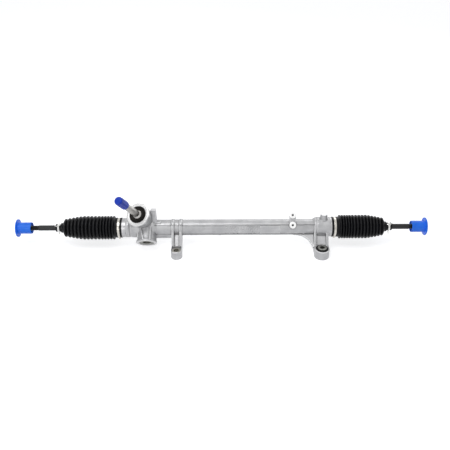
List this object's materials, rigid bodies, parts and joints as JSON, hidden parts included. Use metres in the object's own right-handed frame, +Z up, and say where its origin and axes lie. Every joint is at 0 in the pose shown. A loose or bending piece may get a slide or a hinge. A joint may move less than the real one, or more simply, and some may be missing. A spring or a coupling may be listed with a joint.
{
  "type": "steering rack",
  "caption": "Rack and pinion steering gear with a cast housing, angled pinion shaft, bellows boots, inner tie rods and two forward mounting lugs.",
  "frame": {"origin": "axis of the left lug's bolt bore at its mounting face", "axes": "+X along the rack towards the right end, +Z up out of the mounting faces, lugs reach forward from the tube towards -Y"},
  "size_m": [1.14, 0.155, 0.2097],
  "materials": {
    "cast_aluminium": "satin",
    "machined_aluminium": "satin",
    "steel": "satin",
    "dark_steel": "satin",
    "clamp_steel": "gloss",
    "rubber": "satin",
    "blue_plastic": "gloss",
    "seat_plastic": "matte",
    "bronze": "satin"
  },
  "bodies": {
    "housing": {"rack_housing": "cast_aluminium", "rack_bush": "seat_plastic", "pinion_lower_bush": "bronze", "pinion_bearing_outer_race": "steel", "pinion_retaining_ring": "dark_steel", "pinion_dust_seal": "rubber", "rack_yoke": "machined_aluminium", "yoke_liner": "bronze", "yoke_lower_disc_spring": "dark_steel", "yoke_upper_disc_spring": "dark_steel", "yoke_adjuster_plug": "machined_aluminium", "mount_bush_rubber": "rubber", "mount_bush_sleeve": "steel", "left_boot": "rubber", "left_boot_band": "clamp_steel", "right_boot": "rubber", "right_boot_band": "clamp_steel"},
    "rack": {"rack_bar": "steel", "left_ball_socket": "steel", "left_lock_washer": "steel", "right_ball_socket": "steel", "right_lock_washer": "steel"},
    "pinion": {"pinion_shaft": "steel", "pinion_bearing_inner_race": "steel"},
    "pinion_cap": {"pinion_spline_cap": "blue_plastic"},
    "left_seat": {"left_ball_seat": "seat_plastic"},
    "left_rod": {"left_tie_rod": "dark_steel", "left_boot_clip": "clamp_steel"},
    "left_cap": {"left_thread_cap": "blue_plastic"},
    "right_seat": {"right_ball_seat": "seat_plastic"},
    "right_rod": {"right_tie_rod": "dark_steel", "right_boot_clip": "clamp_steel"},
    "right_cap": {"right_thread_cap": "blue_plastic"}
  },
  "joints": [
    {"name": "rack_slide", "type": "slide", "parent": "housing", "child": "rack", "axis": [1, 0, 0], "range_m": [-0.0615, 0.0785], "deforming": ["left_boot", "right_boot"]},
    {"name": "pinion_spin", "type": "hinge", "parent": "housing", "child": "pinion", "pos_m": [-0.084, 0.07539, 0.06669], "axis": [-0.2807, -0.5988, 0.7501], "range_deg": [-441, 563]},
    {"name": "pinion_cap_pull", "type": "slide", "parent": "pinion", "child": "pinion_cap", "axis": [-0.2807, -0.5988, 0.7501], "range_m": [0, 0.06]},
    {"name": "left_rod_swing_fore_aft", "type": "hinge", "parent": "rack", "child": "left_seat", "pos_m": [-0.26, 0.062, 0.056], "axis": [0, 0, 1], "range_deg": [-20, 20]},
    {"name": "left_rod_swing_up_down", "type": "hinge", "parent": "left_seat", "child": "left_rod", "pos_m": [-0.26, 0.062, 0.056], "axis": [0, 1, 0], "range_deg": [-20, 20]},
    {"name": "left_cap_pull", "type": "slide", "parent": "left_rod", "child": "left_cap", "axis": [-1, 0, 0], "range_m": [0, 0.06]},
    {"name": "right_rod_swing_fore_aft", "type": "hinge", "parent": "rack", "child": "right_seat", "pos_m": [0.521, 0.062, 0.056], "axis": [0, 0, 1], "range_deg": [-20, 20]},
    {"name": "right_rod_swing_up_down", "type": "hinge", "parent": "right_seat", "child": "right_rod", "pos_m": [0.521, 0.062, 0.056], "axis": [0, 1, 0], "range_deg": [-20, 20]},
    {"name": "right_cap_pull", "type": "slide", "parent": "right_rod", "child": "right_cap", "axis": [1, 0, 0], "range_m": [0, 0.06]}
  ],
  "couplings": [
    {"joint": "pinion_spin", "follows": "rack_slide", "rad_per_m": 125}
  ]
}
